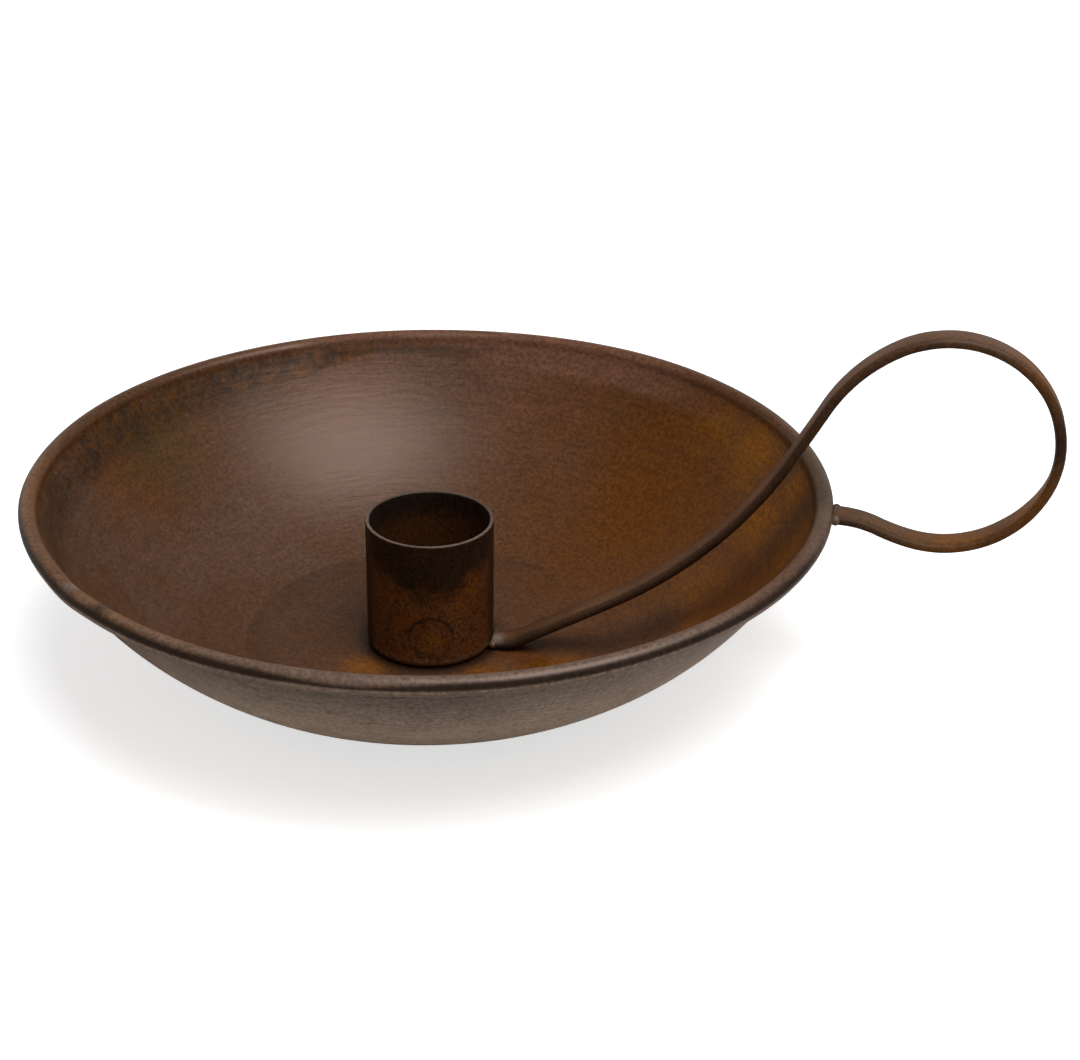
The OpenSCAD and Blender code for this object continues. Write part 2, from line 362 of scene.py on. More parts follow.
class Graph:
    """Builds a material's nodes. Places are in millimetres on the piece."""

    def __init__(self, name):
        self.material = bpy.data.materials.new(name)
        self.material.use_nodes = True
        self.tree = self.material.node_tree
        self.tree.nodes.clear()
        self.shader = self.node("ShaderNodeBsdfPrincipled")
        output = self.node("ShaderNodeOutputMaterial")
        self.tree.links.new(self.shader.outputs["BSDF"], output.inputs["Surface"])
        place = self.node("ShaderNodeTexCoord").outputs["Object"]
        self.place = self.vector("SCALE", place, scale=1 / MM)
        self.x, self.y, self.height = self.split(self.place)
        flat = self.join(self.x, self.y, 0.0)
        self.radius = self.vector("LENGTH", flat)
        self.outward = self.vector("NORMALIZE", flat)
        self.up = self.split(self.node("ShaderNodeNewGeometry").outputs["True Normal"])[2]

    def node(self, kind, **values):
        made = self.tree.nodes.new(kind)
        for key, value in values.items():
            setattr(made, key, value)
        return made

    def put(self, socket, value):
        """Links an output to a socket, or sets the socket to a plain value."""
        if isinstance(value, bpy.types.NodeSocket):
            self.tree.links.new(value, socket)
        elif socket.type == "RGBA":
            socket.default_value = (*value[:3], 1)
        else:
            socket.default_value = value

    def split(self, vector):
        """The three numbers of a vector."""
        made = self.node("ShaderNodeSeparateXYZ")
        self.put(made.inputs[0], vector)
        return made.outputs[0], made.outputs[1], made.outputs[2]

    def join(self, *numbers):
        """A vector of three numbers."""
        made = self.node("ShaderNodeCombineXYZ")
        for socket, number in zip(made.inputs, numbers):
            self.put(socket, number)
        return made.outputs[0]

    def math(self, operation, a, b=0.0):
        made = self.node("ShaderNodeMath", operation=operation)
        self.put(made.inputs[0], a)
        self.put(made.inputs[1], b)
        return made.outputs[0]

    def product(self, first, *others):
        """The product of numbers."""
        for other in others:
            first = self.math("MULTIPLY", first, other)
        return first

    def vector(self, operation, a, b=None, scale=None):
        made = self.node("ShaderNodeVectorMath", operation=operation)
        self.put(made.inputs[0], a)
        if b is not None:
            self.put(made.inputs[1], b)
        if scale is not None:
            self.put(made.inputs["Scale"], scale)
        is_number = operation in ("LENGTH", "DISTANCE", "DOT_PRODUCT")
        return made.outputs["Value" if is_number else "Vector"]

    def noise(self, size, detail=2.0, rough=0.5, place=None, shift=(0.0, 0.0, 0.0)):
        """Noise from 0 to 1 with features of about that size in millimetres."""
        made = self.node("ShaderNodeTexNoise")
        where = self.vector("ADD", self.place if place is None else place, shift)
        self.put(made.inputs["Vector"], where)
        made.inputs["Scale"].default_value = 1 / size
        made.inputs["Detail"].default_value = detail
        made.inputs["Roughness"].default_value = rough
        return made.outputs["Fac"]

    def wander(self, value, size, reach, shift=(0.0, 0.0, 0.0)):
        """A number that noise moves by up to about the reach either way."""
        swing = self.math("SUBTRACT", self.noise(size, 3.0, 0.6, shift=shift), 0.5)
        return self.math("ADD", value, self.product(swing, 2 * reach))

    def ramp(self, value, low, high, to_low=0.0, to_high=1.0):
        """Goes smoothly from one number to another as a value goes from low to high."""
        made = self.node("ShaderNodeMapRange", interpolation_type="SMOOTHSTEP")
        for socket, given in zip(made.inputs, (value, low, high, to_low, to_high)):
            self.put(socket, given)
        return made.outputs["Result"]

    def bell(self, value, middle, half, peak=1.0):
        """The peak where a value is at the middle, and 0 from half a width on."""
        off = self.math("ABSOLUTE", self.math("SUBTRACT", value, middle))
        return self.ramp(off, 0.0, half, peak, 0.0)

    def mix(self, share, a, b, blend="MIX"):
        made = self.node("ShaderNodeMix", data_type="RGBA", blend_type=blend)
        self.put(made.inputs["Factor"], share)
        self.put(made.inputs["A"], a)
        self.put(made.inputs["B"], b)
        return made.outputs["Result"]

    def spot(self, centre, radius, ragged):
        """1 at a place and 0 outside a radius, in millimetres, with an edge that noise makes ragged."""
        far = self.vector("DISTANCE", self.place, centre)
        far = self.wander(far, max(1.5, radius / 3), ragged)
        return self.ramp(far, 0.0, radius, 1.0, 0.0)

    def stain(self, colour, stains, over):
        """Lays stains of one colour, each (place, radius, raggedness, strength), over another."""
        share = 0.0
        for centre, radius, ragged, strength in stains:
            spot = self.product(self.spot(centre, radius, ragged), strength)
            share = self.math("MAXIMUM", share, spot)
        return self.mix(share, colour, over)

    def bump(self, height, distance, strength=1.0, normal=None):
        """Bump from a height of 0 to 1 over a distance in millimetres."""
        made = self.node("ShaderNodeBump")
        made.inputs["Strength"].default_value = strength
        made.inputs["Distance"].default_value = distance * MM
        self.put(made.inputs["Height"], height)
        if normal is not None:
            self.put(made.inputs["Normal"], normal)
        return made.outputs["Normal"]

    def turned_lines(self, size, length):
        """Noise from 0 to 1 drawn out round the axis into lines of that size and length."""
        along = self.math("DIVIDE", self.math("ADD", self.radius, self.height), size)
        rounds = self.vector("SCALE", self.outward, scale=RIM_R / length)
        place = self.vector("ADD", rounds, self.join(0.0, 0.0, along))
        return self.noise(1, 3.0, 0.6, place)

    def shade(self, colour, dark, light, value, low=0.3, high=0.7):
        """Makes a colour darker or lighter as a value goes from low to high."""
        level = self.ramp(value, low, high, dark, light)
        return self.mix(1.0, colour, self.join(level, level, level), "MULTIPLY")

    def finish(self, colour, grain, rough_low, rough_high, normal, dull=0.0):
        """Feeds the shader with a colour, bumps and a roughness that follows the grain or is dull."""
        look = settings().finish
        inputs = self.shader.inputs
        rough = self.ramp(grain, 0.25, 0.75, rough_low, rough_high)
        self.put(inputs["Base Color"], colour)
        self.put(inputs["Roughness"], self.math("MAXIMUM", rough, dull))
        self.put(inputs["Specular IOR Level"], look.sheen)
        self.put(inputs["Specular Tint"], look.sheen_tint)
        self.put(inputs["Normal"], normal)
        return self.material


# Where the floor's bend ends, and the pan's stains, among them a painted handle shadow and a painted
# glint, each (place, radius, raggedness, strength)
PAN_BEND_R = 36.3
PAN_BLOOMS = (
    ((62, 37, 31), 15, 5, 0.95),
    ((54, 47, 31), 12, 6, 0.5),
    ((69, 17, 31), 9, 4, 0.7),
    ((62.4, 19, 23), 12, 5, 0.85),
    ((52, 12, 10), 11, 5, 0.5),
    ((51, -2, 9), 7, 4, 0.4),
    ((70, -2, 28), 12, 5, 0.45),
    ((-10.5, -13.4, 0.7), 6.5, 2.5, 0.75),
    ((12, -11.5, 0.7), 6.5, 2.5, 0.5),
    ((29, -8.5, 1.5), 11, 4, 0.5),
    ((50, -16, 8), 14, 5, 0.15),
    ((-60.5, 32, 28), 13, 9, 0.12),
)
PAN_RUSTED = (
    ((40, 40, 14), 56, 20, 1.0),
    ((58, 0, 16), 42, 18, 1.0),
    ((20, 62, 22), 28, 16, 0.6),
    ((-66, 14, 27), 24, 12, 0.8),
    ((24, -8, 1), 22, 8, 1.0),
    ((-12, -16, 1), 14, 7, 0.5),
)
PAN_OLIVE = (
    ((71, 6, 30), 8, 4, 0.5),
    ((-64, 25, 28), 19, 9, 0.75),
)
PAN_FLUSH = (((8, 70, 30), 27, 7, 0.42), ((-28, 62, 27), 25, 8, 0.5))
# A dark spot at the rim's front left, and the handle's shadow painted on the floor
PAN_DARK_AND_HANDLE_SHADOW = (
    ((-43.8, -60.3, 35.6), 4, 1, 0.8),
    ((45, 5, 5.5), 8, 4, 0.4),
)
# A painted glint on the dent in the rim at the front left
KINK_PAINTED_GLINT = (((-51.5, -54, 36), 2.6, 0.6, 0.9),)
RIM_BROWN = (
    ((-75, 20, 35), 42, 8, 1.0),
    ((52, 54, 35), 50, 12, 0.9),
    ((-60, -45, 35), 26, 8, 0.5),
    ((68, -32, 35), 28, 8, 0.6),
)
RIM_BLOOMS = (
    ((-72, -22, 36), 34, 10, 0.35),
    ((-46, -60, 36), 38, 10, 0.32),
)
RIM_OLIVE = (((75, 8, 36), 32, 8, 0.6),)


def rim_skin(g, colour):
    """The rolled rim: brown, pale on top from wear and a painted highlight, with painted reflections
    round its outside, painted shade in its creases and painted light at its back.
    """
    look = settings().finish
    # Share of pale skin on the bead's top: wear and a painted highlight, strongest at the front
    wear_and_highlight = g.ramp(g.wander(g.y, 10, 20), -70, 20, 0.65, 0.35)
    outer_half = g.ramp(g.radius, RIM_R - 0.9, RIM_R + 0.4)
    skin = g.mix(g.product(wear_and_highlight, outer_half), look.umber, look.wear_and_highlight)
    skin = g.stain(skin, RIM_BROWN, look.umber)
    skin = g.stain(skin, RIM_BLOOMS, look.amber)
    skin = g.stain(skin, RIM_OLIVE, look.olive)
    # The dark spot at the rim's front left; the painted handle shadow lies on the floor, away from the
    # rim
    skin = g.stain(skin, PAN_DARK_AND_HANDLE_SHADOW, look.soot_and_shade)
    # A painted glint at the rim's kink
    skin = g.stain(skin, KINK_PAINTED_GLINT, look.wear_and_highlight)
    # Painted reflection of the pale floor on the bead's downward-facing outside
    outside = g.ramp(g.radius, RIM_R - 0.3, RIM_R + 0.3)
    skin = g.mix(g.product(g.bell(g.up, -0.25, 0.35, 0.5), outside), skin, look.outer)
    # Painted dark reflection: a dark belt where the bead's outside faces level, at the front only
    painted_dark_belt_top = g.math("SUBTRACT", 1.0, g.bell(g.x, 2, 18, 0.45))
    below_top = g.math("SUBTRACT", g.wander(painted_dark_belt_top, 12, 0.12), g.up)
    painted_dark_belt = g.product(g.ramp(g.up, -0.1, 0.15), g.ramp(below_top, 0.0, 0.5, 0.0, 0.93))
    painted_dark_belt = g.product(painted_dark_belt, outside, g.ramp(g.y, -8, -28))
    skin = g.mix(painted_dark_belt, skin, look.soot_and_shade)
    colour = g.mix(g.ramp(g.radius, RIM_R - 2.2, RIM_R - 1.3), colour, skin)
    # Painted shade in the crease between the rim and the wall, on the right and on the left
    right = g.product(g.bell(g.radius, RIM_R - 2.0, 1.4, 0.2), g.ramp(g.x, 10, 45))
    left = g.product(g.bell(g.radius, RIM_R - 4.0, 3.5, 0.4), g.ramp(g.x, -35, -60))
    colour = g.mix(g.math("MAXIMUM", right, left), colour, look.soot_and_shade)
    # Painted light: lifts the shade on the inner flank under the rim at the back
    back = g.ramp(g.y, 25, 60)
    above = g.math("SUBTRACT", g.radius, g.ramp(g.x, -15, 10, RIM_R - 2.3, RIM_R - 5))
    light = g.product(g.ramp(above, 0, 1.2), g.ramp(g.radius, RIM_R - 0.6, RIM_R + 0.6, 0.9, 0.5))
    light = g.product(light, back, g.ramp(g.x, -60, -20, 0.4, 1.0), g.ramp(g.x, 30, 55, 1.0, 0.1))
    colour = g.mix(light, colour, look.flush)
    # Painted shade: a thin dark line in the crease under the rim at the back
    seam = g.product(g.bell(g.radius, RIM_R - 2.4, 0.7, 0.4), g.ramp(g.x, 10, -10), back)
    return g.mix(seam, colour, look.soot_and_shade)


def crumbly_band(g):
    """Where the sheet crumbles, in a band under the rim at the back and the left, from 0 to 1."""
    above = g.math("SUBTRACT", g.wander(g.height, 12, 3), g.ramp(g.x, -60, -20, 26.5, 30))
    return g.product(g.ramp(above, 0, 3), g.ramp(g.y, -45, 5), g.ramp(g.x, -30, 5, 1.0, 0.3))


def crumbs(g, band, colour):
    """Dark crumbs and rusty flecks in the crumbly band."""
    look = settings().finish
    dark = g.ramp(g.noise(2.6, 4.0, 0.75), 0.44, 0.58)
    dark = g.product(dark, g.ramp(g.x, -50, -20, 0.9, 0.65))
    colour = g.mix(g.product(band, dark), colour, look.crumb_and_shade)
    flakes = g.ramp(g.noise(2.8, 4.0, 0.75, shift=(5.0, 50.0, 9.0)), 0.46, 0.64, 0.0, 0.7)
    reds = g.product(g.noise(5, 3.0, 0.6, shift=(2.0, 7.0, 1.0)), 0.7)
    return g.mix(g.product(band, flakes), colour, g.mix(reds, look.rust, look.amber))


def pan_material():
    """Browned sheet with spinning lines, a dark crumbly band under the rim and orange blooms, with
    painted shade, a painted handle shadow and painted reflections.
    """
    look = settings().finish
    g = Graph("browned_sheet")
    lines = g.turned_lines(1.3, 7)
    patches = g.noise(26, 4.0, 0.6)
    grain = g.noise(0.8, 4.0, 0.75)
    colour = g.mix(g.ramp(patches, 0.38, 0.62), look.umber, look.mauve)
    colour = g.stain(colour, PAN_RUSTED, look.rust)
    colour = g.stain(colour, PAN_OLIVE, look.olive)
    colour = g.stain(colour, PAN_FLUSH, look.flush)
    # Painted shade: darker just inside the floor's bend and round the cup
    floor_painted_shade =g.ramp(g.radius, PAN_BEND_R - 7, PAN_BEND_R - 1, 0.14, 0.36)
    floor_painted_shade = g.product(floor_painted_shade, g.ramp(g.radius, PAN_BEND_R - 0.5, PAN_BEND_R + 0.3, 1.0, 0.0))
    floor_painted_shade = g.product(floor_painted_shade, g.ramp(g.x, 0, 20, 1.0, 0.6))
    floor_painted_shade = g.math("MAXIMUM", floor_painted_shade, g.bell(g.radius, CUP_R, 7, 0.4))
    colour = g.mix(floor_painted_shade, colour, look.crumb_and_shade)
    band = crumbly_band(g)
    colour = crumbs(g, band, colour)
    colour = g.stain(colour, PAN_BLOOMS, look.amber)
    # A dark spot at the rim's front left, and the painted shadow of the handle on the floor
    colour = g.stain(colour, PAN_DARK_AND_HANDLE_SHADOW, look.crumb_and_shade)
    # Painted contact shadow round the cup's foot
    colour = g.mix(g.bell(g.radius, CUP_R - 0.4, 3.2, 0.9), colour, look.soot_and_shade)
    side = g.ramp(g.wander(g.x, 14, 10), -56, -28)
    skin = g.mix(g.ramp(patches, 0.35, 0.65, 0.0, 0.5), look.outer, look.wear_and_highlight)
    skin = g.mix(side, look.bronze, skin)
    blotches = g.ramp(g.noise(3.5, 3.0, 0.6, shift=(17.0, 3.0, 8.0)), 0.58, 0.7, 0.0, 0.5)
    skin = g.mix(blotches, skin, look.rust)
    # Painted floor reflection and shade on the outside: darker under the rim towards the front, paler
    # lower down, then back down towards the foot
    painted_shade_under_rim = g.ramp(g.math("ABSOLUTE", g.math("SUBTRACT", g.x, 5.0)), 10, 45, 0.4, 0.65)
    skin = g.shade(skin, painted_shade_under_rim, 1.9, g.height, 35, 9)
    skin = g.shade(skin, 0.5, 1.0, g.height, 4, 11)
    outside = g.ramp(g.up, -0.06, 0.06, 1.0, 0.0)
    colour = g.mix(outside, colour, skin)
    colour = rim_skin(g, colour)
    colour = g.shade(colour, 0.88, 1.1, lines)
    colour = g.shade(colour, 0.62, 1.38, grain)
    normal = g.bump(grain, 0.03, 0.5, g.bump(lines, 0.09, 0.7))
    dull = g.product(band, g.ramp(g.x, -55, -30, 0.0, 0.8))
    return g.finish(colour, grain, 0.36, 0.44, normal, dull)


def cup_material():
    """Sooty sheet, black at the top, with painted shade round its sides and back and at its bottom
    edge, reddish and rusting lower down in front.
    """
    look = settings().finish
    g = Graph("sooty_shaded_sheet")
    grain = g.noise(0.6, 3.0, 0.7)
    front = g.vector("DOT_PRODUCT", g.outward, CUP_FRONT)
    colour = g.mix(g.ramp(g.noise(5, 4.0, 0.65), 0.35, 0.65, 0.0, 0.6), look.ember, look.umber)
    colour = g.stain(colour, CUP_BLOOMS, look.amber)
    # Painted floor reflection: a paler band along the cup's rounded bottom edge
    foot = g.bell(g.height, CUP_LOW.z + 1.5, 1.1, 0.8)
    colour = g.mix(foot, colour, look.bronze)
    ring = g.bell(g.vector("DISTANCE", g.place, CUP_RING), 4.3, 0.6, 0.8)
    ring = g.product(ring, g.ramp(g.height, CUP_RING[2] - 2, CUP_RING[2] + 2, 0.3, 1.0))
    colour = g.mix(ring, colour, look.soot_and_shade)
    dots = g.ramp(g.noise(1.3, 3.0, 0.7, shift=(9.0, 1.0, 4.0)), 0.54, 0.66, 0.0, 0.65)
    colour = g.mix(dots, colour, look.soot_and_shade)
    sunk = g.math("ADD", g.height, g.ramp(front, 0.7, 1.0, 0.0, 4.0))
    top = g.ramp(g.wander(sunk, 3, 4.5), CUP_HIGH.z - 10, CUP_HIGH.z - 3.5, 0.0, 0.88)
    # Painted shade on the cup's sides and back, away from the side that faces the camera, and a painted
    # contact shadow at its bottom edge
    soot_and_shade_share = g.math("MAXIMUM", top, g.ramp(g.wander(front, 5, 0.12), 0.56, 0.3, 0.0, 0.9))
    soot_and_shade_share = g.math("MAXIMUM", soot_and_shade_share, g.ramp(g.height, CUP_LOW.z + 0.7, CUP_LOW.z + 0.1))
    colour = g.mix(soot_and_shade_share, colour, look.soot_and_shade)
    inside = g.ramp(g.radius, CUP_R - 0.45, CUP_R - 0.3, 1.0, 0.0)
    deep = g.ramp(g.wander(g.height, 4, 2), CUP_HIGH.z - 2, CUP_HIGH.z - 8, 0.0, 0.4)
    colour = g.mix(inside, colour, g.mix(deep, look.soot_and_shade, look.ember))
    # The lip: pale from wear and a painted highlight, brighter at the front
    lip = g.ramp(g.height, CUP_HIGH.z - 0.12, CUP_HIGH.z - 0.02, 0.0, 0.75)
    colour = g.mix(g.product(lip, g.ramp(g.y, -5, 8, 1.0, 0.5)), colour, look.wear_and_highlight)
    colour = g.shade(colour, 0.55, 1.45, grain)
    return g.finish(colour, grain, 0.42, 0.6, g.bump(grain, 0.04, 0.6))


def handle_material():
    """Browned rod: pinkish brown faces, painted shade on its edges, a painted shadow and glint at its
    foot, and mustard rust on the loop.
    """
    look = settings().finish
    g = Graph("browned_rod")
    grain = g.noise(0.8, 4.0, 0.75)
    colour = g.mix(g.ramp(g.noise(12, 4.0, 0.6), 0.4, 0.62), look.bronze, look.umber)
    colour = g.mix(g.ramp(g.x, 76, 60, 0.0, 0.2), colour, look.umber)
    colour = g.stain(colour, LOOP_BLOOMS, look.amber)
    colour = g.stain(colour, LOOP_DARK, look.soot_and_shade)
    # Painted shade: darker towards the strip's far side and on both its edges
    across = g.wander(g.y, 4, 0.35)
    colour = g.mix(g.ramp(across, 0.0, STRIP_Y, 0.0, 0.35), colour, look.soot_and_shade)
    sides = g.ramp(g.math("ABSOLUTE", across), STRIP_Y - 1.1, STRIP_Y - 0.5)
    colour = g.mix(g.product(sides, g.ramp(g.x, 75, 95, 0.65, 0.42)), colour, look.soot_and_shade)
    # Painted shadow under the strip's foot and a painted glint on it
    colour = g.stain(colour, FOOT_PAINTED_SHADOW, look.soot_and_shade)
    colour = g.stain(colour, FOOT_PAINTED_GLINT, look.wear_and_highlight)
    colour = g.shade(colour, 0.7, 1.3, grain)
    bump = g.bump(grain, 0.05, 0.6)
    return g.finish(colour, grain, 0.38, 0.5, bump, g.product(sides, 0.62))


def weld_material():
    """Small dull beads of weld metal."""
    look = settings().finish
    g = Graph("weld_metal")
    patches = g.noise(1.2, 3.0, 0.6)
    colour = g.mix(g.ramp(patches, 0.35, 0.65, 0.0, 0.6), look.umber, look.wear_and_highlight)
    return g.finish(colour, patches, 0.3, 0.5, g.bump(patches, 0.08, 0.6))


# The cup's rusty side, which faces the camera and stays clear of the painted shade on the cup's sides,
# its bloom and its round mark
CUP_FRONT = (0.199, -0.98, 0.0)
CUP_RING = (2.46, -12.1, 7.5)
CUP_BLOOMS = (
    ((9.5, -8, 17), 4, 2, 0.4),
    ((2.5, -12, 7), 3.6, 1, 0.35),
    ((7, -10, 13), 4, 2, 0.25),
)
LOOP_BLOOMS = (
    ((110, 0, 64), 10, 5, 0.45),
    ((113, 0, 40), 12, 5, 0.7),
    ((99, 0, 30), 16, 6, 0.6),
)
LOOP_DARK = (
    ((117.5, 0, 54.5), 9, 3, 1.0),
    ((101, 0, 72), 9, 4, 0.15),
    ((90, 0, 33), 8, 4, 0.1),
)
# A painted shadow under the strip's foot, and a painted glint on it
FOOT_PAINTED_SHADOW = (((14, -4, 1.2), 4.5, 1, 0.95), ((20, -4, 3), 5, 1, 0.6))
FOOT_PAINTED_GLINT = (((13.4, -1.2, 3), 2.6, 0.6, 1.0),)


# Outlines


class PanShape:
    """Arcs of the pan's half section, in millimetres. Slopes are measured from level."""

    def __init__(self, sizes):
        self.floor_r, self.corner_r, self.turn = sizes.floor_r, sizes.corner_r, sizes.corner_turn
        self.gap, self.neck_r = sizes.seam_gap, sizes.neck_r
        self.rim = (RIM_R, RIM_Z)
        self.hole_r = BEAD_R - SHEET
        to_wire = self.hole_r - sizes.neck
        start = (
            self.floor_r + self.corner_r * math.sin(self.turn),
            self.corner_r * (1 - math.cos(self.turn)),
        )
        chord = (
            RIM_R - start[0] - to_wire * math.sin(self.turn),
            RIM_Z - start[1] + to_wire * math.cos(self.turn),
        )
        chord_slope = math.atan2(chord[1], chord[0])
        self.wall_r = math.hypot(*chord) / (2 * math.sin(chord_slope - self.turn)) - to_wire
        self.reach = self.wall_r + to_wire
        self.end_slope = 2 * chord_slope - self.turn
        self.centre = (
            start[0] - self.wall_r * math.sin(self.turn),
            start[1] + self.wall_r * math.cos(self.turn),
        )

    def wall_point(self, offset, slope):
        """Point on the wall where its slope is given, offset outwards from its outer face."""
        r = self.wall_r + offset
        return self.centre[0] + r * math.sin(slope), self.centre[1] - r * math.cos(slope)

    def slope_where(self, offset, distance):
        """Slope at which the wall, offset outwards, is at a distance from the rim's middle."""
        r = self.wall_r + offset
        cosine = (self.reach**2 + r**2 - distance**2) / (2 * self.reach * r)
        return self.end_slope - math.acos(cosine)

    def rim_angle(self, point):
        """Direction of a point from the rim's middle."""
        return math.atan2(point[1] - RIM_Z, point[0] - RIM_R)

    def wall_arc(self, offset, start, end, step):
        """Points up or down the wall, its start left out, about a step apart."""
        r = self.wall_r + offset
        steps = max(1, round(abs(end - start) * r / step))
        quarter = math.pi / 2
        return arc(self.centre, r, start - quarter, end - quarter, steps)

    def face(self, groove, step):
        """The inner face, from the axis over the floor and up the wall, with turned grooves."""
        down = -math.pi / 2
        corner = (self.floor_r, self.corner_r)
        floor = line((0, SHEET), (self.floor_r, SHEET), 30)
        bend = arc(corner, self.corner_r - SHEET, down, down + self.turn, 8)
        wall = self.wall_arc(-SHEET, self.turn, self.neck_slope(), step)
        turned = random.Random(4)
        grooved = [(r, z + turned.uniform(-groove, groove)) for r, z in floor + bend + wall[:-1]]
        return [(0.0, SHEET)] + grooved + wall[-1:]

    def neck_slope(self):
        """Slope at which the wall's inner face runs into the hollow below the rolled rim."""
        return self.slope_where(-SHEET - self.neck_r, BEAD_R + self.neck_r)

    def outline(self, groove, step):
        """Closed half section, from the axis over the floor, wall and rim and back underneath."""
        quarter = math.pi / 2
        neck_slope = self.neck_slope()
        neck = self.wall_point(-SHEET - self.neck_r, neck_slope)
        bead_start = self.rim_angle(neck)
        seam = self.wall_point(self.gap, self.slope_where(self.gap, BEAD_R))
        slit = self.wall_point(self.gap, self.slope_where(self.gap, self.hole_r))
        hole_slope = self.slope_where(0, self.hole_r)
        hole_end = self.rim_angle(self.wall_point(0, hole_slope)) % math.tau
        corner = (self.floor_r, self.corner_r)
        points = self.face(groove, step)
        points += arc(neck, self.neck_r, neck_slope - quarter, bead_start - math.pi, 4)
        points += arc(self.rim, BEAD_R, bead_start, self.rim_angle(seam), 34)
        points.append(slit)
        points += arc(self.rim, self.hole_r, self.rim_angle(slit), hole_end, 30)
        points += self.wall_arc(0, hole_slope, self.turn, 1.2)
        points += arc(corner, self.corner_r, self.turn - quarter, -quarter, 5)
        return points + line((self.floor_r, 0), (0, 0), 6)


def cup_outline(sizes):
    """Closed half section of the cup, from the axis under its bottom, up outside and down inside."""
    down, out = -math.pi / 2, 0.0
    corner, inner = sizes.corner_r, sizes.corner_r - sizes.sheet
    base, top, lip = CUP_LOW.z, CUP_HIGH.z, sizes.lip_r
    inside = CUP_R - sizes.sheet
    points = [(0.0, base)] + line((0, base), (CUP_R - corner, base), 6)
    points += arc((CUP_R - corner, base + corner), corner, down, out, 8)
    points += line(points[-1], (CUP_R, top - lip), 40)
    points += arc((CUP_R - lip, top - lip), lip, out, math.pi / 2, 4)
    points += line(points[-1], (inside + lip, top), 1)
    points += arc((inside + lip, top - lip), lip, math.pi / 2, math.pi, 4)
    points += line(points[-1], (inside, base + corner), 24)
    floor_z = base + sizes.sheet
    points += arc((inside - inner, floor_z + inner), inner, math.tau, math.tau + down, 5)
    points += line(points[-1], (0, floor_z), 6)
    return points


class Route:
    """The handle's runs from the cup's foot to the rim, in its upright plane, in millimetres."""

    def __init__(self, sizes):
        gap = STRIP_LOW.x - CUP_R
        turned = sizes.lead_turn + sizes.loop_turn + sizes.tail_turn
        back = turned - sizes.rise_slope - math.pi
        loop = [
            (sizes.lead_r, -sizes.lead_turn),
            (sizes.loop_r, -sizes.loop_turn),
            (sizes.tail_r, -sizes.tail_turn),
            (sizes.return_r, back),
            (0, sizes.end_len),
        ]
        foot = [(0, sizes.foot_len), (sizes.foot_bend_r, sizes.foot_slope)]
        self.start = (STRIP_LOW.x, STRIP_LOW.z + sizes.thickness / 2, 0.0)
        foot_end = self.last(self.start, foot)
        reach = self.last((0.0, 0.0, sizes.rise_slope), loop)
        span = (PAN_R + gap - reach[0] - foot_end[0], RIM_Z - reach[1] - foot_end[1])
        low = (math.cos(sizes.foot_slope), math.sin(sizes.foot_slope))
        high = (math.cos(sizes.rise_slope), math.sin(sizes.rise_slope))
        across = low[0] * high[1] - low[1] * high[0]
        low_leg = (span[0] * high[1] - span[1] * high[0]) / across
        high_leg = (low[0] * span[1] - low[1] * span[0]) / across
        turn = sizes.rise_slope - sizes.foot_slope
        leg = sizes.sweep_r * math.tan(turn / 2)
        sweep = [(0, low_leg - leg), (sizes.sweep_r, turn), (0, high_leg - leg)]
        self.runs = foot + sweep + loop

    @staticmethod
    def end(place, run):
        """Where a run of (bend radius, turn) or (0, length) ends."""
        x, z, slope = place
        r, amount = run
        if not r:
            return x + amount * math.cos(slope), z + amount * math.sin(slope), slope
        side = math.copysign(r, amount)
        after = slope + amount
        x += side * (math.sin(after) - math.sin(slope))
        z -= side * (math.cos(after) - math.cos(slope))
        return x, z, after

    def last(self, place, runs):
        """Where a list of runs ends."""
        for run in runs:
            place = self.end(place, run)
        return place


def strip_section(sizes, start):
    """Points round the strip's section where it starts: a rectangle with full, rounded corners."""
    x, z = start[:2]
    power = 2 / sizes.squareness
    points = []
    for i in range(sizes.around):
        turn = math.tau * i / sizes.around
        across, above = math.cos(turn), math.sin(turn)
        y = math.copysign(STRIP_Y * abs(across) ** power, across)
        rise = math.copysign(sizes.thickness / 2 * abs(above) ** power, above)
        points.append((x, y, z + rise))
    return points


# Operators


def bend_rim(obj, sizes):
    """Gives the pan, or what lies in its rim, the pan's warp, its risen sides and its kink."""

    def risen(p):
        azimuth = math.degrees(math.atan2(p.y, p.x))
        right = ease(-75, -25, azimuth) * ease(100, 55, azimuth)
        left = 0.8 * bell(-152, 26, azimuth)
        return max(right, left) * ease(14, RIM_Z, p.z)

    def kinked(p):
        azimuth = math.degrees(math.atan2(p.y, p.x))
        return bell(-134, 7, azimuth) * ease(RIM_Z - 9, RIM_Z, p.z)

    weigh(obj, "upper", lambda p: ease(2, 12, p.z))
    displace(obj, "pan_warp", 55, sizes.warp, "RGB_TO_XYZ", "upper")
    push(obj, "rise", sizes.rise, "Z", risen)
    push(obj, "kink", -sizes.kink, "Z", kinked)


class CHAMBERSTICK_OT_make_pan(bpy.types.Operator):
    """Spins the pan with its rolled rim and gives it the browned finish"""

    bl_idname = "chamberstick.make_pan"
    bl_label = "Make pan"

    def execute(self, context):
        sizes = settings().pan
        shape = PanShape(sizes)
        made = lathe("pan_sheet", shape.outline(sizes.groove, sizes.groove_step), sizes.around)
        bend_rim(made, sizes)
        smooth(made, 35)
        dress(made, pan_material(), "pan_steel", "pan")
        return {"FINISHED"}


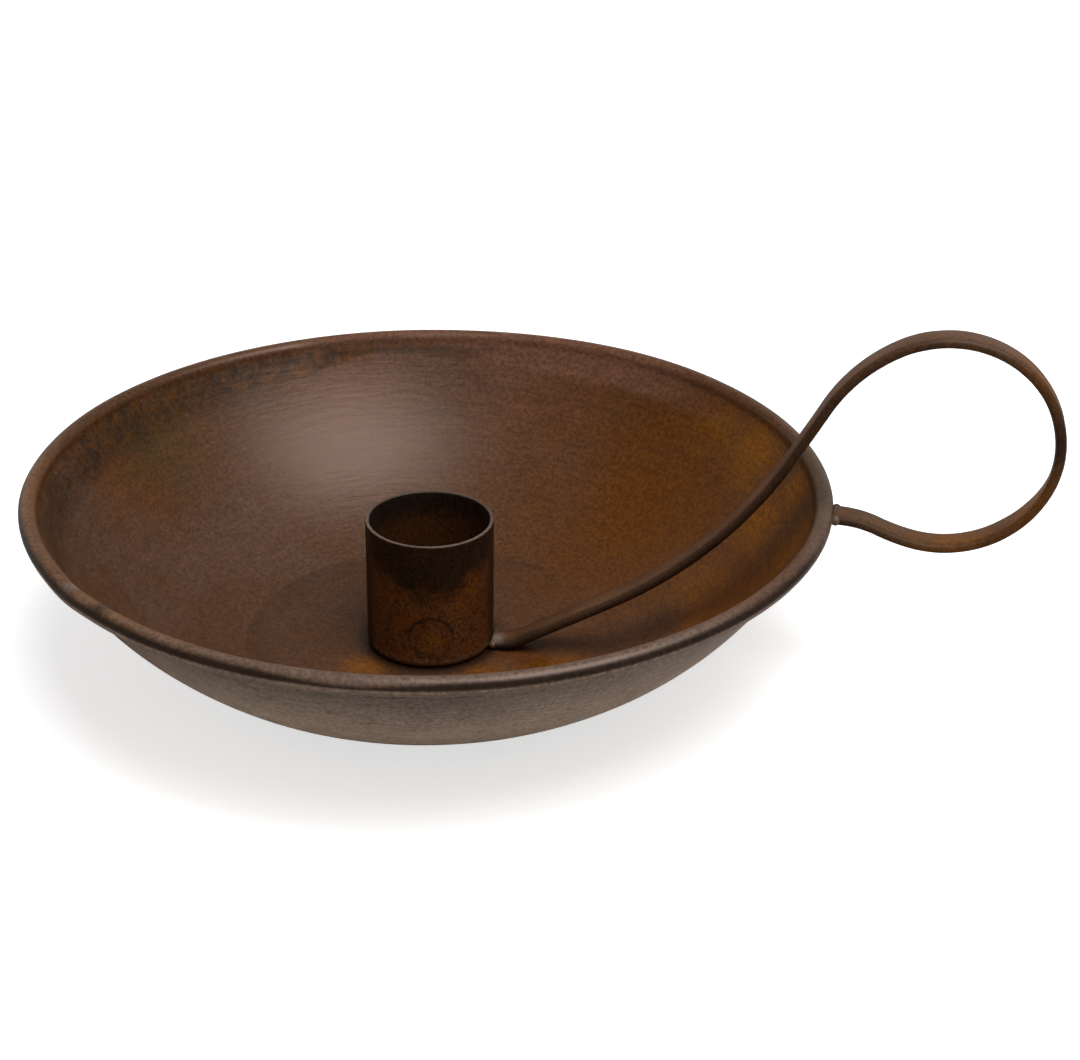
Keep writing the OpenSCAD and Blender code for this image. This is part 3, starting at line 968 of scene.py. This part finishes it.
class CHAMBERSTICK_OT_make_wire(bpy.types.Operator):
    """Spins the wire that lies in the rolled rim and bends it as the rim is bent"""

    bl_idname = "chamberstick.make_wire"
    bl_label = "Make rim wire"

    def execute(self, context):
        sizes = settings().pan
        ring = arc((RIM_R, RIM_Z), WIRE_R, 0, math.tau, 20)
        made = lathe("wire_ring", ring + ring[:1], sizes.around)
        bend_rim(made, sizes)
        smooth(made, 60)
        dress(made, weld_material(), "bare_wire", "rim_wire")
        return {"FINISHED"}


class CHAMBERSTICK_OT_make_cup(bpy.types.Operator):
    """Spins the candle cup and gives it the sooty finish"""

    bl_idname = "chamberstick.make_cup"
    bl_label = "Make candle cup"

    def execute(self, context):
        sizes = settings().cup
        made = lathe("cup_sheet", cup_outline(sizes), sizes.around)
        weigh(made, "upper", lambda p: ease(1, 6, p.z))
        displace(made, "cup_warp", 9, sizes.warp, "RGB_TO_XYZ", "upper")
        smooth(made, 40)
        dress(made, cup_material(), "cup_steel", "candle_cup")
        return {"FINISHED"}


class CHAMBERSTICK_OT_make_handle(bpy.types.Operator):
    """Draws the strip along its runs and gives it its forge marks and the browned finish"""

    bl_idname = "chamberstick.make_handle"
    bl_label = "Make handle"

    ring_step = 0.6

    def execute(self, context):
        sizes = settings().handle
        route = Route(sizes)
        made = draw_chain("handle_strip", strip_section(sizes, route.start))
        bpy.ops.mesh.edge_face_add()
        place = route.start
        for run in route.runs:
            self.draw_run(place, run)
            place = route.end(place, run)
        bpy.ops.mesh.select_all(action="SELECT")
        bpy.ops.mesh.normals_make_consistent(inside=False)
        bpy.ops.object.mode_set(mode="OBJECT")
        displace(made, "forge_marks", 5, sizes.forge, "NORMAL")
        push(made, "twist", sizes.twist, "X", self.twisted)
        smooth(made, 60)
        dress(made, handle_material(), "handle_steel", "handle")
        return {"FINISHED"}

    @staticmethod
    def twisted(p):
        """How far the strip's far edge leans out, low on the loop's right side."""
        return ease(-STRIP_Y, STRIP_Y, p.y) * bell(45, 12, p.z) * ease(104, 110, p.x)

    def draw_run(self, place, run):
        """Extrudes the selected end along a straight, or spins it round a bend."""
        x, z, slope = place
        r, amount = run
        if not r:
            steps = max(1, round(amount / self.ring_step))
            step = Vector((math.cos(slope), 0, math.sin(slope))) * (amount / steps * MM)
            for _ in range(steps):
                bpy.ops.mesh.extrude_region_move(TRANSFORM_OT_translate={"value": step})
            return
        side = math.copysign(r, amount)
        centre = Vector((x - side * math.sin(slope), 0, z + side * math.cos(slope))) * MM
        steps = max(2, round(abs(amount) * r / self.ring_step))
        bpy.ops.mesh.spin(
            steps=steps, angle=amount, center=centre, axis=(0, 1, 0), use_auto_merge=False
        )


class CHAMBERSTICK_OT_make_welds(bpy.types.Operator):
    """Melts blobs into the two weld beads that hold the strip, and finishes the spot welds"""

    bl_idname = "chamberstick.make_welds"
    bl_label = "Make welds"

    def execute(self, context):
        sizes = settings().weld
        metal = weld_material()
        foot = (STRIP_LOW.x + 0.3, STRIP_LOW.z + settings().handle.thickness / 2)
        rim = (PAN_R + 0.6, RIM_Z)
        for name, node, place, blob in (
            ("foot_bead", "handle_foot_weld", foot, sizes.foot_blob),
            ("rim_bead", "handle_rim_weld", rim, sizes.rim_blob),
        ):
            made = self.melt(name, place, blob, sizes)
            dress(made, metal, "weld_metal", node)
        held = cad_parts["cup_spot_welds"].data.materials
        held.clear()
        held.append(metal)
        return {"FINISHED"}

    @staticmethod
    def melt(name, place, blob, sizes):
        """A row of blobs across the strip, melted together."""
        uneven = random.Random(7)
        made = None
        for i in range(sizes.blobs):
            y = (2 * i / (sizes.blobs - 1) - 1) * (STRIP_Y - blob / 2)
            size = blob * uneven.uniform(0.82, 1.0)
            at = (place[0] + uneven.uniform(-0.1, 0.1), y, place[1] + uneven.uniform(-0.1, 0.1))
            where = {"subdivisions": 3, "radius": size * MM, "location": Vector(at) * MM}
            if made is None:
                made = add_object(name, bpy.ops.mesh.primitive_ico_sphere_add, **where)
                bpy.ops.object.transform_apply(location=True)
                bpy.ops.object.mode_set(mode="EDIT")
            else:
                bpy.ops.mesh.primitive_ico_sphere_add(**where)
        bpy.ops.object.mode_set(mode="OBJECT")
        remesh = made.modifiers.new("melt", "REMESH")
        remesh.mode = "VOXEL"
        remesh.voxel_size = sizes.grain * MM
        bpy.ops.object.modifier_apply(modifier="melt")
        soften = made.modifiers.new("soften", "SMOOTH")
        soften.iterations = 8
        bpy.ops.object.modifier_apply(modifier="soften")
        displace(made, "ripple", 1, 0.15, "NORMAL")
        smooth(made, 70)
        return made


class CHAMBERSTICK_OT_make_stage(bpy.types.Operator):
    """Lays the pale floor and sets the lamps, the background and the camera"""

    bl_idname = "chamberstick.make_stage"
    bl_label = "Make stage"

    def execute(self, context):
        sizes = settings().stage
        scene = context.scene
        scene.view_settings.view_transform = "Standard"
        floor = add_object("floor", bpy.ops.mesh.primitive_plane_add, size=6)
        floor.data.materials.append(self.floor_material(sizes))
        self.world(scene, sizes.daylight)
        self.lamp("softbox", (0.139, -0.178, 0.602), 0.4, sizes.softbox)
        gleam = self.lamp("gleam", (0.228, -0.1, 0.548), 0.37, sizes.gleam)
        gleam.visible_diffuse = False
        self.camera(scene, sizes)
        return {"FINISHED"}

    @staticmethod
    def lamp(name, place, size, watts):
        """A square lamp that points at the cup's foot."""
        made = add_object(name, bpy.ops.object.light_add, type="AREA", location=place)
        made.data.size = size
        made.data.energy = watts
        made.rotation_euler = Vector(place).to_track_quat("Z", "Y").to_euler()
        return made

    @staticmethod
    def floor_material(sizes):
        """Pale floor that the camera sees nearly white, but for the part's shadow."""
        g = Graph("pale_floor")
        glow = g.ramp(g.radius, 200, 600, sizes.glow_near, sizes.glow_far)
        seen = g.node("ShaderNodeLightPath").outputs["Is Camera Ray"]
        g.put(g.shader.inputs["Base Color"], sizes.floor)
        g.put(g.shader.inputs["Specular IOR Level"], 0.0)
        g.put(g.shader.inputs["Emission Color"], (1, 1, 1))
        g.put(g.shader.inputs["Emission Strength"], g.product(glow, seen))
        return g.material

    @staticmethod
    def world(scene, daylight):
        """Even light from all around, which the camera and reflections see as white."""
        world = bpy.data.worlds.new("studio")
        scene.world = world
        world.use_nodes = True
        tree = world.node_tree
        tree.nodes.clear()
        new, link = tree.nodes.new, tree.links.new
        output = new("ShaderNodeOutputWorld")
        background = new("ShaderNodeBackground")
        background.inputs["Color"].default_value = (1, 1, 1, 1)
        path = new("ShaderNodeLightPath")
        seen = new("ShaderNodeMath")
        seen.operation = "MAXIMUM"
        both = new("ShaderNodeMath")
        both.operation = "MAXIMUM"
        level = new("ShaderNodeMapRange")
        level.inputs["To Min"].default_value = daylight
        level.inputs["To Max"].default_value = 1.0
        link(path.outputs["Is Camera Ray"], seen.inputs[0])
        link(path.outputs["Is Glossy Ray"], seen.inputs[1])
        link(seen.outputs[0], both.inputs[0])
        link(path.outputs["Is Transmission Ray"], both.inputs[1])
        link(both.outputs[0], level.inputs["Value"])
        link(level.outputs["Result"], background.inputs["Strength"])
        link(background.outputs[0], output.inputs["Surface"])

    @staticmethod
    def camera(scene, sizes):
        """Stands the camera where the photograph was taken from."""
        pitch, yaw, roll = sizes.camera_pitch, sizes.camera_yaw, sizes.camera_roll
        ahead = Vector(
            (math.sin(yaw) * math.cos(pitch), math.cos(yaw) * math.cos(pitch), -math.sin(pitch))
        )
        right = Vector((math.cos(yaw), -math.sin(yaw), 0))
        up = right.cross(ahead)
        across = right * math.cos(roll) + up * math.sin(roll)
        above = up * math.cos(roll) - right * math.sin(roll)
        stand = Matrix((across, above, -ahead)).transposed().to_4x4()
        stand.translation = Vector((0, -sizes.camera_distance, sizes.camera_height)) * MM
        camera = add_object("camera", bpy.ops.object.camera_add)
        camera.matrix_world = Matrix.Rotation(sizes.camera_azimuth, 4, "Z") @ stand
        camera.data.lens = sizes.lens
        camera.data.sensor_width = 36
        camera.data.clip_start = 0.01
        scene.camera = camera


class CHAMBERSTICK_PT_panel(bpy.types.Panel):
    """Lists the steps that make the chamberstick"""

    bl_label = "Chamberstick"
    bl_idname = "CHAMBERSTICK_PT_panel"
    bl_space_type = "VIEW_3D"
    bl_region_type = "UI"
    bl_category = "Chamberstick"

    def draw(self, context):
        for step in STEPS:
            self.layout.operator(step.bl_idname)
        groups = context.scene.chamberstick
        for name in ("pan", "cup", "handle", "weld", "finish", "stage"):
            box = self.layout.box()
            box.label(text=name.capitalize())
            group = getattr(groups, name)
            for key in group.__annotations__:
                box.prop(group, key)


STEPS = (
    CHAMBERSTICK_OT_make_stage,
    CHAMBERSTICK_OT_make_pan,
    CHAMBERSTICK_OT_make_wire,
    CHAMBERSTICK_OT_make_cup,
    CHAMBERSTICK_OT_make_handle,
    CHAMBERSTICK_OT_make_welds,
)
CLASSES = (
    PanSettings,
    CupSettings,
    HandleSettings,
    WeldSettings,
    FinishSettings,
    StageSettings,
    ChamberstickSettings,
    *STEPS,
    CHAMBERSTICK_PT_panel,
)


def register():
    for made in CLASSES:
        bpy.utils.register_class(made)
    bpy.types.Scene.chamberstick = PointerProperty(type=ChamberstickSettings)


def unregister():
    del bpy.types.Scene.chamberstick
    for made in reversed(CLASSES):
        bpy.utils.unregister_class(made)


def main():
    register()
    for step in STEPS:
        group, name = step.bl_idname.split(".")
        getattr(getattr(bpy.ops, group), name)()


if __name__ == "__main__":
    main()
